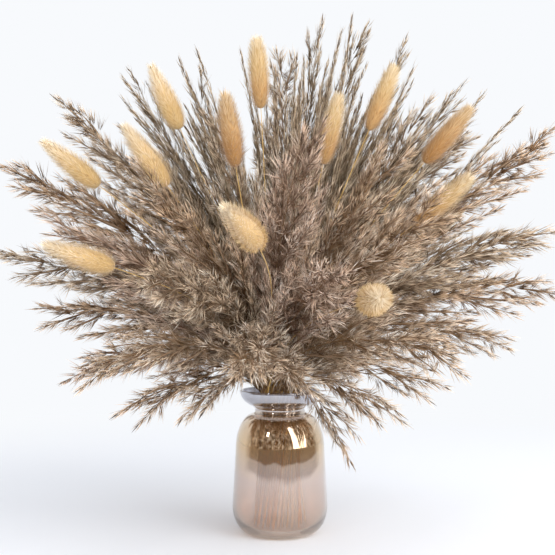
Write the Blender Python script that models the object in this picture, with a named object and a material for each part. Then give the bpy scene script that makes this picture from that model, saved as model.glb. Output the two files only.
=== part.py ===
"""A dried grass bouquet in a small glass bottle vase: reed plumes and bunny tails.

Metres, +Z up. The origin is the middle of the vase's flat underside, and -Y is the bouquet's front.
Every stalk is one grown piece: a straw stem that stands on the vase's floor, passes the neck as one line of a
spiral bundle, and bends outwards to its flower head. The stalks never meet, because the spiral below the neck
scales and turns the whole bundle alike, and because above it each plume is only as full as its neighbours allow.
"""

import math

import bmesh
import bpy
import numpy as np

# ---- Vase: radii and heights of its outer profile
BODY_RADIUS = 0.0385
BODY_HEIGHT = 0.022
FOOT_RADIUS = 0.0240
SHOULDER_RADIUS = 0.0360
SHOULDER_HEIGHT = 0.068
NECK_RADIUS = 0.0203
NECK_LOW = 0.0960
NECK_HIGH = 0.1010
RIM_RADIUS = 0.0325
RIM_HEIGHT = 0.1140
WALL = 0.0024
FLOOR = 0.0050
VASE_SIDES = 32

# ---- Bundle: how the stems pass the vase's neck
BIND_HEIGHT = 0.101
BUNDLE_RADIUS = 0.0160
BUNDLE_HOLLOW = 0.0068
STEM_SPACING = 0.0029
SPIRAL_PER_METRE = 9.6
SPIRAL_TURN = 72.0
SEAT_GAP = 0.0003

# ---- Stalks
PATH_POINTS = 40
REED_STEM = 0.0010
REED_SIDES = 6
REED_RINGS = 17
REED_PLUME = 0.0135
REED_TIP = 0.0012
PLUME_START = 0.30
TURN_RANGE = 14.0
TAIL_STEM = 0.0007
TAIL_SIDES = 6
STEM_RINGS = 9
TAIL_RINGS = 9
TAIL_LENGTH = 0.052
TAIL_RADIUS = 0.0098
STALK_GAP = 0.0014
RISE = 0.022
SAG_DEGREES = 34.0
ARRANGEMENT_SEED = 5

# Each reed plume's tip as a florist would place it, seen from the neck: compass angle in degrees (-90 is the
# front), angle from upright in degrees, distance in metres, and how full the plume is.
REED_TIPS = (
    # left side
    (180, 49, 0.302, 1.0), (-177, 61, 0.260, 1.0), (173, 36, 0.316, 0.9), (166, 71, 0.228, 0.9),
    (-172, 79, 0.172, 0.9), (-158, 92, 0.128, 0.7), (-136, 91, 0.104, 0.6), (160, 26, 0.322, 0.5),
    (150, 17, 0.300, 0.5),
    # crown
    (85, 6, 0.307, 0.8), (60, 11, 0.338, 0.5), (40, 16, 0.350, 0.5), (20, 21, 0.334, 0.6), (8, 26, 0.282, 0.9),
    # right side
    (18, 31, 0.316, 0.6), (26, 38, 0.322, 0.7), (2, 46, 0.322, 1.0), (16, 57, 0.276, 0.9), (-12, 56, 0.258, 1.0),
    (-4, 66, 0.244, 1.0), (12, 76, 0.212, 0.9), (-14, 83, 0.130, 0.8), (-31, 93, 0.106, 0.6),
    (-48, 109, 0.084, 0.5),
    # front
    (-140, 15, 0.252, 0.9), (-74, 23, 0.240, 1.0), (-126, 44, 0.242, 1.0), (-84, 39, 0.248, 1.0),
    (-52, 35, 0.240, 0.9), (-156, 53, 0.240, 1.0), (-116, 63, 0.228, 1.0), (-82, 62, 0.226, 1.0),
    (-52, 50, 0.240, 1.0), (-137, 78, 0.190, 1.0), (-100, 77, 0.180, 1.0), (-48, 75, 0.190, 1.0),
    (-82, 76, 0.124, 0.8),
    # back
    (95, 26, 0.290, 0.9), (130, 40, 0.296, 0.9), (62, 40, 0.296, 0.9), (100, 58, 0.268, 1.0),
    (138, 65, 0.256, 1.0), (54, 65, 0.256, 1.0), (124, 86, 0.190, 1.0), (68, 88, 0.185, 1.0),
)

# Each bunny tail's tip in the same way: compass angle, angle from upright, distance, and how many degrees the
# head swings round from the line of its stem.
TAIL_TIPS = (
    (-168, 42, 0.283, 0), (-169, 21, 0.294, 0), (-142, 34, 0.257, 0), (-111, 25, 0.257, 10), (-121, 7, 0.296, 0),
    (-100, 54, 0.243, -20), (-141, 59, 0.240, 0), (-46, 15, 0.254, 0), (-12, 19, 0.290, 0), (-15, 33, 0.282, 0),
    (-32, 43, 0.240, 0), (-74, 68, 0.234, -20),
    (118, 50, 0.284, 0), (40, 53, 0.290, 0),
)


def material(name, rgb, roughness, alpha=1.0):
    """A Principled material with one plain colour."""
    made = bpy.data.materials.new(name)
    made.use_nodes = True
    shader = made.node_tree.nodes["Principled BSDF"]
    shader.inputs["Base Color"].default_value = (*rgb, 1.0)
    shader.inputs["Roughness"].default_value = roughness
    shader.inputs["Alpha"].default_value = alpha
    return made


def arc(centre, radii, start, end, steps):
    """Points (radius, height) on an ellipse's arc between two angles in degrees, ends included."""
    angles = np.radians(np.linspace(start, end, steps + 1))
    return [(centre[0] + radii[0] * math.cos(a), centre[1] + radii[1] * math.sin(a)) for a in angles]


def vase_profile(inset, floor, corner_steps):
    """The vase's outline from foot to rim, moved inwards by inset, with its flat bottom at height floor.

    The foot's rounded corner, the nearly straight side, the shoulder and the flared lip are elliptic arcs.
    """
    corner_width = BODY_RADIUS - FOOT_RADIUS
    foot = arc((FOOT_RADIUS, BODY_HEIGHT), (corner_width - inset, BODY_HEIGHT - floor), -90, 0, corner_steps)
    shoulder = arc(
        (NECK_RADIUS - inset, SHOULDER_HEIGHT),
        (SHOULDER_RADIUS - NECK_RADIUS, NECK_LOW - SHOULDER_HEIGHT),
        0,
        78,
        5,
    )
    neck = [(NECK_RADIUS - inset, NECK_LOW), (NECK_RADIUS - inset, NECK_HIGH)]
    lip = arc(
        (NECK_RADIUS - inset - 0.004, RIM_HEIGHT),
        (RIM_RADIUS - NECK_RADIUS + 0.004, RIM_HEIGHT - NECK_HIGH),
        -60,
        0,
        4,
    )
    return foot + shoulder + neck + lip


def build_vase():
    """The blown bottle: its outer profile, a rounded rim and its inner profile, turned once round the axis."""
    outer = [(0.0, 0.0)] + vase_profile(0.0, 0.0, 5)
    inner = vase_profile(WALL, FLOOR, 4)
    rim_crown = [(RIM_RADIUS - WALL / 2, RIM_HEIGHT + WALL / 3)]
    outline = outer + rim_crown + inner[::-1] + [(0.0, FLOOR)]
    mesh = bmesh.new()
    rings = []
    for radius, height in outline:
        if radius < 1e-6:
            rings.append([mesh.verts.new((0.0, 0.0, height))])
            continue
        ring = []
        for k in range(VASE_SIDES):
            angle = math.tau * k / VASE_SIDES
            ring.append(mesh.verts.new((radius * math.cos(angle), radius * math.sin(angle), height)))
        rings.append(ring)
    for low, high in zip(rings, rings[1:]):
        for k in range(VASE_SIDES):
            n = (k + 1) % VASE_SIDES
            if len(low) == 1:
                mesh.faces.new((low[0], high[n], high[k]))
            elif len(high) == 1:
                mesh.faces.new((low[k], low[n], high[0]))
            else:
                mesh.faces.new((low[k], low[n], high[n], high[k]))
    return finish("vase", mesh, MATERIALS["glass"])


def finish(name, mesh, look):
    """Turns a bmesh into a named object with outward faces, smooth shading and its material."""
    bmesh.ops.recalc_face_normals(mesh, faces=mesh.faces)
    data = bpy.data.meshes.new(name)
    mesh.to_mesh(data)
    mesh.free()
    data.shade_smooth()
    data.materials.append(look)
    made = bpy.data.objects.new(name, data)
    bpy.context.collection.objects.link(made)
    return made


def heading(compass, lean):
    """The unit vector at a compass angle, leaning from upright by an angle, both in degrees."""
    around, down = math.radians(compass), math.radians(lean)
    return np.array([math.cos(around) * math.sin(down), math.sin(around) * math.sin(down), math.cos(down)])


def bundle_places(compasses, leans):
    """Where each stem passes the neck: further out the more it leans, then pushed apart to an even spacing."""
    around = np.radians(compasses - SPIRAL_TURN)
    width = BUNDLE_RADIUS - BUNDLE_HOLLOW
    out = BUNDLE_HOLLOW + width * np.clip(leans / 90.0, 0.0, 1.0) ** 0.8
    places = np.stack([out * np.cos(around), out * np.sin(around)], axis=1)
    others = 1.0 - np.eye(len(places))
    for _ in range(500):
        apart = places[:, None] - places[None]
        distance = np.linalg.norm(apart, axis=2) + np.eye(len(places))
        push = others * np.clip(STEM_SPACING - distance, 0.0, None) / distance
        places = places + 0.3 * (push[:, :, None] * apart).sum(axis=1)
        out = np.linalg.norm(places, axis=1)
        places = places * (np.clip(out, BUNDLE_HOLLOW, BUNDLE_RADIUS) / out)[:, None]
    return places


def stalk_path(place, compass, lean, reach, turn):
    """A stalk's centre line from the neck to its tip: a cubic Bezier that leaves along the spiral and sags."""
    neck = np.array([place[0], place[1], BIND_HEIGHT])
    along = np.array([-SPIRAL_PER_METRE * place[1], SPIRAL_PER_METRE * place[0], 1.0])
    along = along / np.linalg.norm(along)
    tip = np.array([0.0, 0.0, BIND_HEIGHT]) + reach * heading(compass, lean)
    sag = SAG_DEGREES * (lean / 100.0) ** 1.5
    low = neck + (0.30 * reach + RISE * lean / 100.0) * along
    high = tip - 0.40 * reach * heading(compass + turn, lean + sag)
    t = np.linspace(0.0, 1.0, PATH_POINTS)[:, None]
    return (1 - t) ** 3 * neck + 3 * (1 - t) ** 2 * t * low + 3 * (1 - t) * t**2 * high + t**3 * tip


def stem_foot(place):
    """Where a stem stands: the same straight line of the spiral, followed down to the vase's floor."""
    drop = BIND_HEIGHT - FLOOR - SEAT_GAP
    return np.array([
        place[0] + SPIRAL_PER_METRE * drop * place[1],
        place[1] - SPIRAL_PER_METRE * drop * place[0],
        FLOOR + SEAT_GAP,
    ])


def smooth(t):
    """Eases from 0 to 1 with level ends."""
    t = np.clip(t, 0.0, 1.0)
    return t * t * (3 - 2 * t)


def plume_profile(fullness):
    """A reed's radius at each path point: bare stem, a swelling plume, and a thin tip."""
    t = np.linspace(0.0, 1.0, PATH_POINTS)
    swell = smooth((t - PLUME_START) / 0.28) * np.clip((1.0 - t) / 0.42, 0.0, 1.0) ** 0.7
    return np.maximum(REED_STEM + REED_PLUME * fullness * swell, REED_TIP * (t > PLUME_START))


def tail_profile(path):
    """A bunny tail's radius at each path point: a thin stem, then an egg-shaped head at its end."""
    steps = np.linalg.norm(np.diff(path, axis=0), axis=1)
    to_tip = np.concatenate([np.cumsum(steps[::-1])[::-1], [0.0]])
    h = np.clip(1.0 - to_tip / TAIL_LENGTH, 0.0, 1.0)
    head = TAIL_RADIUS * np.sqrt(np.clip(1.0 - (2 * h**0.85 - 1.0) ** 2, 0.0, 1.0))
    return np.maximum(head, TAIL_STEM)


def make_room(paths, radii, stems, fixed):
    """Slims each plume where a neighbour is near: two plumes share the room, and a fixed stalk keeps its own."""
    slim = radii.copy()
    for i in range(len(paths)):
        if fixed[i]:
            continue
        for j in range(len(paths)):
            if i == j:
                continue
            distance = np.linalg.norm(paths[i][:, None] - paths[j][None], axis=2)
            share = distance - radii[j][None] if fixed[j] else distance / 2
            room = (share - STALK_GAP).min(axis=1)
            slim[i] = np.minimum(slim[i], np.maximum(room, stems[i]))
    return slim


def sweep(name, path, radii, sides, look):
    """A closed tube with its own radius at each point, cut level at its foot; its rings never twist."""
    tangents = np.gradient(path, axis=0)
    tangents[0] = (0.0, 0.0, 1.0)
    tangents /= np.linalg.norm(tangents, axis=1)[:, None]
    side = np.cross(tangents[0], [0.0, 1.0, 0.0])
    mesh = bmesh.new()
    rings = []
    for point, tangent, radius in zip(path, tangents, radii):
        side = side - tangent * np.dot(side, tangent)
        side /= np.linalg.norm(side)
        across = np.cross(tangent, side)
        ring = []
        for k in range(sides):
            angle = math.tau * k / sides
            ring.append(mesh.verts.new(point + radius * (math.cos(angle) * side + math.sin(angle) * across)))
        rings.append(ring)
    for low, high in zip(rings, rings[1:]):
        for k in range(sides):
            n = (k + 1) % sides
            mesh.faces.new((low[k], low[n], high[n], high[k]))
    mesh.faces.new(rings[0][::-1])
    mesh.faces.new(rings[-1])
    return finish(name, mesh, look)


def pick_rings(path, radii, places):
    """The path and its radii at the given places, each from 0 at the neck to 1 at the tip."""
    at = np.linspace(0.0, 1.0, len(path))
    points = np.stack([np.interp(places, at, path[:, k]) for k in range(3)], axis=1)
    return points, np.interp(places, at, radii)


def head_rings(path):
    """Ring places for a bunny tail: few along the stem, and more round the head's two ends."""
    length = np.linalg.norm(np.diff(path, axis=0), axis=1).sum()
    head_start = 1.0 - TAIL_LENGTH / length
    stem = np.linspace(0.0, head_start, STEM_RINGS)
    turn = np.linspace(0.0, math.pi, TAIL_RINGS)[1:]
    return np.concatenate([stem, head_start + (1 - head_start) * (1 - np.cos(turn)) / 2])


def build_stalks():
    """Every stalk: its place in the neck, its path, its radius, and one closed solid from foot to tip."""
    turns = np.random.default_rng(ARRANGEMENT_SEED).uniform(-TURN_RANGE, TURN_RANGE, len(REED_TIPS))
    reeds = [(compass, lean, reach, turn) for (compass, lean, reach, _), turn in zip(REED_TIPS, turns)]
    stalks = np.array(reeds + list(TAIL_TIPS), dtype=float)
    places = bundle_places(stalks[:, 0], stalks[:, 1])
    paths = [stalk_path(place, *stalk) for place, stalk in zip(places, stalks)]
    fixed = [False] * len(reeds) + [True] * len(TAIL_TIPS)
    stems = [REED_STEM] * len(reeds) + [TAIL_STEM] * len(TAIL_TIPS)
    radii = [plume_profile(fullness) for *_, fullness in REED_TIPS]
    radii += [tail_profile(path) for path in paths[len(reeds):]]
    radii = make_room(paths, np.array(radii), stems, fixed)
    for i, (path, radius) in enumerate(zip(paths, radii)):
        if fixed[i]:
            name, look, sides = f"bunny_tail_{i - len(reeds) + 1:02d}", MATERIALS["tail"], TAIL_SIDES
            rings = head_rings(path)
        else:
            name, look, sides = f"reed_plume_{i + 1:02d}", MATERIALS["reed"], REED_SIDES
            rings = np.linspace(0.0, 1.0, REED_RINGS)
        points, widths = pick_rings(path, radius, rings)
        foot = stem_foot(places[i])
        sweep(name, np.vstack([foot, points]), np.concatenate([[stems[i]], widths]), sides, look)


for old in list(bpy.data.objects):
    bpy.data.objects.remove(old, do_unlink=True)

MATERIALS = {
    "glass": material("amber_lustre_glass", (0.62, 0.42, 0.24), 0.08, alpha=0.45),
    "reed": material("dried_reed_plume", (0.38, 0.28, 0.20), 0.95),
    "tail": material("dried_bunny_tail", (0.74, 0.53, 0.29), 0.9),
}

build_vase()
build_stalks()
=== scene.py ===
"""The looks of a dried grass bouquet: reed plumes and bunny tails in a small amber lustre glass bottle.

Metres, +Z up, -Y towards the bouquet's front. Every stalk follows the centre line of its CAD node, worked
out here from the same places and the same rule. A reed plume is a thin stalk with side branches. Each branch
carries tufts of silky hairs, and narrow husks among them. A bunny tail is a firm core in soft bristles.
"""

import math
from typing import NamedTuple

import bpy
import numpy as np
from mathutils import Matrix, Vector


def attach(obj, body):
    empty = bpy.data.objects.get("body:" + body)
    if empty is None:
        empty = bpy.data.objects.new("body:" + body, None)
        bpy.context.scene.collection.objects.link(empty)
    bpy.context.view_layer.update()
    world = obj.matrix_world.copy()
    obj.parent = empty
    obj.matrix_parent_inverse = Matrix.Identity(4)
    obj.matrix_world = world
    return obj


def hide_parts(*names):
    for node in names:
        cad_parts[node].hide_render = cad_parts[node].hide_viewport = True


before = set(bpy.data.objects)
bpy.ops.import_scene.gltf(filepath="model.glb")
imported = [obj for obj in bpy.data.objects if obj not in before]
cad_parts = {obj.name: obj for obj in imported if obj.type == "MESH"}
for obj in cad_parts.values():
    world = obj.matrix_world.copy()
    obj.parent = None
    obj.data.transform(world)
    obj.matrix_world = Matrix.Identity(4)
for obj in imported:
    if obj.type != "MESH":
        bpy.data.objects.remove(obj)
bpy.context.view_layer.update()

MM = 0.001
GOLDEN_TURN = math.radians(137.508)
DOWNWARDS = np.array([0.0, 0.0, -1.0])

# ---- The arrangement, as in the CAD model
BIND_HEIGHT = 0.101
BUNDLE_RADIUS = 0.0160
BUNDLE_HOLLOW = 0.0068
BUNDLE_SPREAD = 0.8  # the power of a stem's lean that its place in the bundle follows
STEM_SPACING = 0.0029
SPACING_ROUNDS = 500
SPACING_PUSH = 0.3
SPIRAL_PER_METRE = 9.6
SPIRAL_TURN = 72.0
STEM_FOOT = 0.0053
PATH_POINTS = 40
TURN_RANGE = 14.0
LEAVING_SHARE = 0.30
ARRIVING_SHARE = 0.40
RISE = 0.022
SAG_DEGREES = 34.0
SAG_GROWTH = 1.5
FULL_LEAN = 100.0  # the lean, in degrees, at which a stalk rises and sags by those amounts
ARRANGEMENT_SEED = 5

# ---- The vase's outline, as in the CAD model, and how finely it is turned
BODY_RADIUS = 0.0385
BODY_HEIGHT = 0.022
FOOT_RADIUS = 0.0240
SHOULDER_RADIUS = 0.0360
SHOULDER_HEIGHT = 0.068
NECK_RADIUS = 0.0203
NECK_LOW = 0.0960
NECK_HIGH = 0.1010
NECK_EASE = 0.001  # how far the neck's straight part stays from its ends
LIP_SPREAD = 0.004  # how far inside the neck the lip's arc has its centre
RIM_RADIUS = 0.0325
RIM_HEIGHT = 0.1140
WALL = 0.0024
FLOOR = 0.0050
VASE_SIDES = 96
ARC_STEPS = 12
SHOULDER_STEPS = 16
SHOULDER_END = 84
LIP_START = -66
RIM_STEPS = 6
RIM_ARC = (20, 160)

# Each reed plume's tip seen from the neck: compass angle (-90 is the front), angle from upright, distance,
# how full it is, and its kind.
REED_TIPS = (
    # left side
    (180, 49, 0.302, 1.25, "brown"),
    (-177, 61, 0.260, 1.2, "ash"),
    (173, 36, 0.316, 1.1, "ash"),
    (166, 71, 0.228, 1.1, "brown"),
    (-172, 79, 0.172, 1.0, "rosy"),
    (-158, 92, 0.128, 0.85, "brown"),
    (-136, 91, 0.104, 0.75, "fair"),
    (160, 26, 0.322, 0.9, "pale"),
    (150, 17, 0.300, 0.9, "pale"),
    # crown
    (85, 6, 0.307, 0.8, "ash"),
    (60, 11, 0.338, 0.9, "pale"),
    (40, 16, 0.350, 0.9, "pale"),
    (20, 21, 0.334, 0.9, "pale"),
    (8, 26, 0.282, 0.9, "ash"),
    # right side
    (18, 31, 0.316, 0.8, "pale"),
    (26, 38, 0.322, 0.9, "ash"),
    (2, 46, 0.322, 1.15, "brown"),
    (16, 57, 0.276, 1.1, "pale"),
    (-12, 56, 0.258, 1.1, "ash"),
    (-4, 66, 0.244, 1.15, "brown"),
    (12, 76, 0.212, 0.9, "fair"),
    (-14, 83, 0.130, 0.8, "fair"),
    (-31, 93, 0.106, 0.6, "fair"),
    (-48, 109, 0.084, 0.5, "fair"),
    # front
    (-140, 15, 0.252, 0.8, "ash"),
    (-74, 23, 0.240, 0.75, "rosy"),
    (-126, 44, 0.242, 0.75, "brown"),
    (-84, 39, 0.248, 0.7, "rosy"),
    (-52, 35, 0.240, 0.75, "brown"),
    (-156, 53, 0.240, 1.0, "rosy"),
    (-116, 63, 0.228, 0.75, "ash"),
    (-82, 62, 0.226, 0.75, "rosy"),
    (-52, 50, 0.240, 0.85, "brown"),
    (-137, 78, 0.190, 0.85, "fair"),
    (-100, 77, 0.180, 0.8, "fair"),
    (-48, 75, 0.190, 0.8, "fair"),
    (-82, 76, 0.124, 0.85, "fair"),
    # back
    (95, 26, 0.290, 0.9, "ash"),
    (130, 40, 0.296, 0.9, "brown"),
    (62, 40, 0.296, 0.9, "rosy"),
    (100, 58, 0.268, 1.0, "ash"),
    (138, 65, 0.256, 1.0, "brown"),
    (54, 65, 0.256, 1.0, "ash"),
    (124, 86, 0.190, 1.0, "rosy"),
    (68, 88, 0.185, 1.0, "brown"),
)

# Each bunny tail's tip in the same way, then how many degrees its head swings round from its stem's line,
# and its kind.
TAIL_TIPS = (
    (-168, 42, 0.283, 0, "cream"),
    (-169, 21, 0.294, 0, "cream"),
    (-142, 34, 0.257, 0, "cream"),
    (-111, 25, 0.257, 10, "amber"),
    (-121, 7, 0.296, 0, "golden"),
    (-100, 54, 0.243, -20, "cream"),
    (-141, 59, 0.240, 0, "cream"),
    (-46, 15, 0.254, 0, "golden"),
    (-12, 19, 0.290, 0, "golden"),
    (-15, 33, 0.282, 0, "amber"),
    (-32, 43, 0.240, 0, "golden"),
    (-74, 68, 0.234, -20, "cream"),
    (118, 50, 0.284, 0, "golden"),
    (40, 53, 0.290, 0, "cream"),
)

# ---- Stalks: a stem's rod, and how many path points it ends before its plume's or head's tip
GROWTH_SEED = 100
STEM_STEPS = 18
STEM_SIDES = 6
STALK_RADIUS = 0.7 * MM
STALK_STOPS_BEFORE = 5
TAIL_STALK_RADIUS = 0.65 * MM
TAIL_STALK_STOPS_BEFORE = 4
THINS_FROM = 0.3  # the share of a stem's length below which it is at its full radius
THINNEST = 0.3  # the share of its radius that is left at its end
LEFT_OF_VASE = -0.006  # stems whose feet stand left of this are golden

# ---- A reed's plume
USUAL_PLUME = 0.20  # the length, in metres, from which a plume has its habit's width
SHORTEST_PLUME = 0.5  # the least share of that width, for a short plume
THINNEST_PLUME = 0.4  # the share of it that a plume without any fullness would have
PLUME_START = 0.20  # the share of the stalk that is bare below the plume
SHORT_STALK = 0.16
SHORT_PLUME_START = 0.08  # that share on a stalk shorter than SHORT_STALK
PLUME_STEPS = 60
FILLED_OUT = 0.3  # the share of its length by which a plume has filled out
TIP_UPRIGHTNESS = 0.3  # how much less a branch leans at the plume's tip
CROWDING = 1.2  # the power of the way up that the branches' number follows
LEAST_CROWDING = 0.2
CROWDING_STEPS = 200
FIRST_END = 0.8  # how many spacings up the first branch ends

# ---- A branch, and the spindle of close down round it, coloured dark as painted shade inside the plume. Scatters are in radians
BRANCH_POINTS = 8
BRANCH_BEND = 0.34  # how much of its lean a branch gives back
BRANCH_DROOP = 0.10  # how far its end drops, as a share of its length
WIDTH_SQUARES = (0.15, 1.0)  # for the square of a branch's share of the plume's half width
LEAST_WIDTH = 3.0 * MM
LEAST_BRANCH = 0.035
BRANCH_SCATTER = 0.4
BRANCH_SWELL = (0.2, 0.8, 1.0, 1.0, 0.8, 0.55, 0.28, 0.08)  # the down's share of its radius, by point
BRANCH_GIRTHS = (0.75, 1.2)
POINT_GIRTHS = (0.85, 1.15)
TIP_THINNING = 0.45  # how much thinner the down is at the plume's tip
BRANCH_RADIUS = 0.3 * MM
DOWN_CORE = 0.3  # the share of the down's radius that is solid, with hairs in the rest
DOWN_SIDES = 5
DOWN_SHADE = 0.3  # how far up the map the solid's shade reaches

# ---- Tufts: where they stand on a branch, and how light they are
LEAST_TUFTS = 4
FIRST_TUFT = 0.9  # how many spacings along its branch the first tuft stands
TUFT_SCATTER = 0.3
TUFT_DEPTHS = (0.1, 1.0)  # where they stand between the branch and its down's skin
AIRY_FROM = 0.45  # the share of a branch from which it gets airy
AIRY_UPRIGHTNESS = 0.7  # how much less a tuft leans at its end
AIRY_AT_START = 0.3  # how airy the plume's lowest branches get, and how much more its tip's
AIRY_GAIN = 0.9
MEAN_LIGHTNESS = 0.64  # the tufts' place across the map, and how it varies by branch and by tuft
BRANCH_LIGHTNESS = 0.08
TUFT_LIGHTNESS = 0.13

# ---- Husks and hairs, each as a usual size and a range of shares of it
MIDDLE = 0.38  # how far along a husk, hair or bristle it is widest
HUSK_LENGTH = 10.0 * MM
HUSK_WIDTH = 1.3 * MM
HUSK_SIZES = (0.7, 1.2)
HUSK_FOLD = 0.3 * MM
AIRY_HUSKS = 0.65  # how much more of the tufts have a husk where the plume is airiest
HAIR_LENGTH = 15.0 * MM
HAIR_LENGTHS = (0.6, 1.2)
HAIR_WIDTHS = (0.7, 1.25)
HAIR_FOLD = -0.14 * MM
HAIR_SCATTER = 0.8 * MM  # how far hairs' roots lie from their tuft's foot
HAIR_TWIST = 0.3
HAIR_LIGHTNESS = 0.07
SPARSEST_PLUME = 0.3  # the share of its hairs that a plume without any fullness would have
SHADE_GAIN = 1.5  # how fast hairs come out of the shade along a branch, and from where
SHADE_OFFSET = 0.04
DEEPEST_SHADE = 0.10
AIRY_HAIRS_LOST = 0.7
AIRY_LENGTH_LOST = 0.3

# A bushy plume is thick with fluff. A wispy one is thin, with its branches close to its stalk. "girth" is the
# plume's half width where it is widest. Leans and spreads are in degrees: a branch's lean is a range, and a
# tuft's is a mean and a spread. "hairs" is how many a tuft has, and "husks" the share of tufts that have one.
# A real hair is some 0.05 mm wide, too fine to show, so there are fewer here, and each is drawn as wide as
# the locks that such hairs cling together in.
HABITS = {
    "bushy": {
        "girth": 40.0 * MM,
        "branch_spacing": 8.4 * MM,
        "branch_lean": (24.0, 40.0),
        "down_radius": 5.0 * MM,
        "tuft_spacing": 3.6 * MM,
        "tuft_lean": (32.0, 13.0),
        "hairs": 10.0,
        "hair_spread": 23.0,
        "hair_width": 0.65 * MM,
        "husks": 0.22,
    },
    "wispy": {
        "girth": 46.0 * MM,
        "branch_spacing": 6.6 * MM,
        "branch_lean": (12.0, 27.0),
        "down_radius": 0.5 * MM,
        "tuft_spacing": 4.8 * MM,
        "tuft_lean": (14.0, 7.0),
        "hairs": 7.2,
        "hair_spread": 13.0,
        "hair_width": 0.6 * MM,
        "husks": 0.25,
    },
}

# ---- A bunny tail: its head, with each kind's core radius and taper (less is blunter), and its bristles,
# which are also drawn fewer and wider than real ones
TAIL_LENGTH = 0.056
TAIL_FINENESS = 400
CORE_LENGTH = 0.052
CORE_STEPS = 21
CORE_SIDES = 16
CORE_SWELL = 0.4  # the power of its length with which the core swells from its base
LEAST_CORE = 0.1 * MM
TAIL_SHAPES = {"cream": (7.4 * MM, 0.85), "golden": (6.4 * MM, 0.5), "amber": (6.9 * MM, 0.6)}
BRISTLES = 1600
BRISTLES_CLOSE_UP = 0.95  # the power of their order that the bristles' places up the core follow
BRISTLES_END = 0.99
BRISTLE_ROOTS = 0.95  # where their roots lie, as a share of the core's radius
BRISTLE_SCATTER = 0.1
BRISTLE_LENGTH = 7.0 * MM
BRISTLE_LENGTHS = (0.75, 1.15)
BASE_BRISTLE = 0.75  # a bristle's share of its length at the base, and what it gains up to the tip
BRISTLE_GROWTH = 0.35
BRISTLE_WIDTH = 0.42 * MM
BRISTLE_WIDTHS = (0.8, 1.2)
BRISTLE_FOLD = 0.1 * MM
BRISTLE_LEAN = (50.0, 11.0)  # a mean and a spread, in degrees
TIP_FLATNESS = 0.55  # how much less they lean at the tip, and how many degrees more at the base
BASE_LEAN = 14.0
HEAD_TOP = 0.9  # how far up the map the core reaches; the bristles reach on from there

# ---- The mesh map: straw, then husks, then hairs across it, and from root to tip up it. A tone is a place
# across it: a range for straw, down and cores, and a mean and a spread within limits for strokes
MAP_NAME = "OFBake"
GOLDEN_STRAW = (0.0, 0.03)
PALE_STRAW = (0.06, 0.1)
MAP_STOPS = (0.0, 0.10, 0.12, 0.30, 0.32, 0.66, 1.0)
HUSK_TONES = (0.20, 0.05)
HUSK_TONE_LIMITS = (0.13, 0.29)
HAIR_TONE_LIMITS = (0.34, 0.98)
# the down's tones are the darkest hairs' ones, as painted shade deep in the plume
DOWN_SHADE_TONES = (0.34, 0.52)
# the tails' cores are darker than most bristles, painted shade in the gaps between them
CORE_SHADE_TONES = (0.26, 0.34)
BRISTLE_TONES = (0.56, 0.22)
BRISTLE_TONE_LIMITS = (0.16, 0.95)
HUSK_STRIP = 0.004
# a hair's lighter and darker edge, painted shading for a round hair's lit and shaded sides
HAIR_SHADING_STRIP = 0.12

# ---- Colours: straw is (golden foot, pale foot, golden top, pale top), with the feet lighter as painted light where the glass dims the lamps; a reed is hair roots and hair tips, each from shaded to bleached, the roots darker partly in their own colour and partly as painted shade of the fluff's depth; and a tail goes from its base to its tip
STRAW = ("#E8B050", "#FBF4E6", "#8A6844", "#C4B094")
HUSK = ("#3C2E24", "#5E4E40", "#8E7862")
TAIL_STRAW = "#CFA85E"
REED_COLOURS = {
    "brown": (("#442A12", "#7C5632", "#A67E52"), ("#E0BC94", "#F8DEC0", "#FFF5E8")),
    "rosy": (("#482C18", "#7E5A3E", "#A88060"), ("#E0C0A4", "#F8DFC8", "#FFF6EC")),
    "fair": (("#64462A", "#94724C", "#B89268"), ("#ECCCAA", "#FCE9D0", "#FFF9F0")),
    "ash": (("#442D17", "#785838", "#A27E56"), ("#D8BC9A", "#F4DEC2", "#FFF6E6")),
    "pale": (("#544028", "#745E44", "#967C5E"), ("#C0A684", "#E0CAAC", "#F2E4D0")),
}
TAIL_COLOURS = {
    "cream": ("#DAC296", "#E8D6B8", "#F4EAD8"),
    "golden": ("#CFAE80", "#DEC8A0", "#ECDEC4"),
    "amber": ("#C09A6A", "#D2B48C", "#E6D2B2"),
}
BACKDROP = "#F8FAFD"
FLOOR_CLOTH = "#F1F2F5"
SKYLIGHT = "#F2F5FA"
ROOM = "#8C837C"

# How far up a hair it is fully bleached and out of its root's painted shade, and a stem past its foot's
# painted light; how much light a hair lets through; and where the tails' straw ends
TIP_COLOUR_FROM = 0.6
LIGHT_THROUGH = 0.32
STRAW_END = 0.12

# A Mix node's sockets have one name for every kind of value, so they go by number
FIRST_COLOUR, SECOND_COLOUR, MIXED_COLOUR = 6, 7, 2
FIRST_VALUE, SECOND_VALUE, MIXED_VALUE = 2, 3, 0


# ---- Shared tools


def linear(code):
    """An sRGB hex colour as the linear colour that shaders take."""
    srgb = np.array([int(code[i : i + 2], 16) for i in (1, 3, 5)]) / 255.0
    values = np.where(srgb <= 0.04045, srgb / 12.92, ((srgb + 0.055) / 1.055) ** 2.4)
    return (*values.tolist(), 1.0)


def add(tree, kind, inputs=None, stops=None, **settings):
    """Adds a node: settings are its properties, inputs its sockets' values or links, stops a ramp's colours.

    A socket goes by its name, or by its number where several share one.
    """
    made = tree.nodes.new(kind)
    for key, value in settings.items():
        setattr(made, key, value)
    for key, value in (inputs or {}).items():
        if isinstance(value, bpy.types.NodeSocket):
            tree.links.new(value, made.inputs[key])
        else:
            made.inputs[key].default_value = value
    if stops:
        elements = made.color_ramp.elements
        while len(elements) < len(stops):
            elements.new(1.0)
        for element, (position, code) in zip(elements, stops):
            element.position = position
            element.color = linear(code)
    return made


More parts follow.
